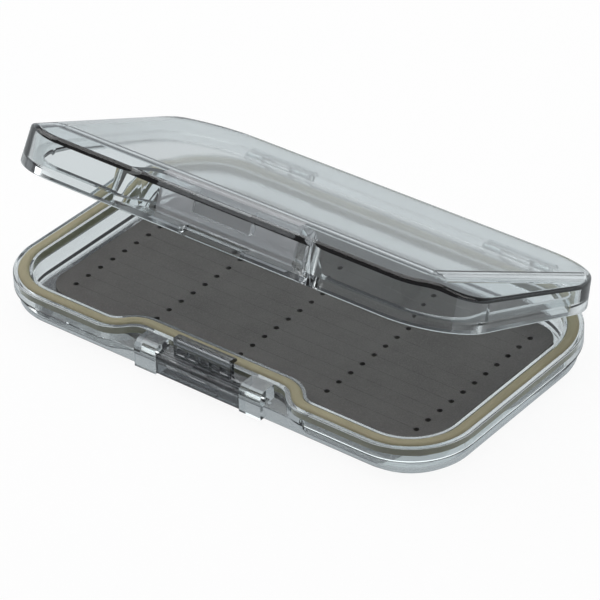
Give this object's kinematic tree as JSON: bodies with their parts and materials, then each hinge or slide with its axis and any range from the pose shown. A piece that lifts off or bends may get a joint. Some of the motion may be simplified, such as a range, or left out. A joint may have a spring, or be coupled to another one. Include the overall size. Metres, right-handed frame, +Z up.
{
  "type": "fly box",
  "caption": "Slim pocket fly box: clear tray and clear lid on rear hinges, slit foam in the tray, a rim seal, and a sprung push latch in a front recess.",
  "frame": {"origin": "centre of the tray's flat underside", "axes": "+X along the box to the right seen from the latch, +Y from the latch to the hinges, +Z up"},
  "size_m": [0.1524, 0.0938, 0.0558],
  "materials": {
    "clear_plastic": "clear polycarbonate with a faint aqua tint, polished",
    "smoke_plastic": "smoke-grey translucent plastic, polished",
    "silicone": "satin olive-beige silicone",
    "foam": "dark grey closed-cell foam, fine grained and matt",
    "adhesive_film": "pressure-sensitive adhesive film",
    "steel": "drawn stainless wire"
  },
  "bodies": {
    "base": {"base_shell": "clear_plastic", "rim_gasket": "silicone", "base_foam": "foam", "foam_adhesive_film": "adhesive_film", "hinge_pin_left": "steel", "hinge_pin_right": "steel", "latch_pin": "steel", "latch_spring": "steel"},
    "lid": {"lid_shell": "clear_plastic"},
    "latch": {"latch_lever": "smoke_plastic"}
  },
  "joints": [
    {"name": "lid_hinge", "type": "hinge", "parent": "base", "child": "lid", "pos_m": [0, 0.0469, 0.01098], "axis": [-1, 0, 0], "range_deg": [-22, 143]},
    {"name": "latch_press", "type": "hinge", "parent": "base", "child": "latch", "pos_m": [0, -0.0414, 0.0068], "axis": [1, 0, 0], "range_deg": [0, 14], "stiffness_Nm_per_rad": 0.05, "springref_deg": -5.73, "deforming": ["latch_spring"]}
  ]
}
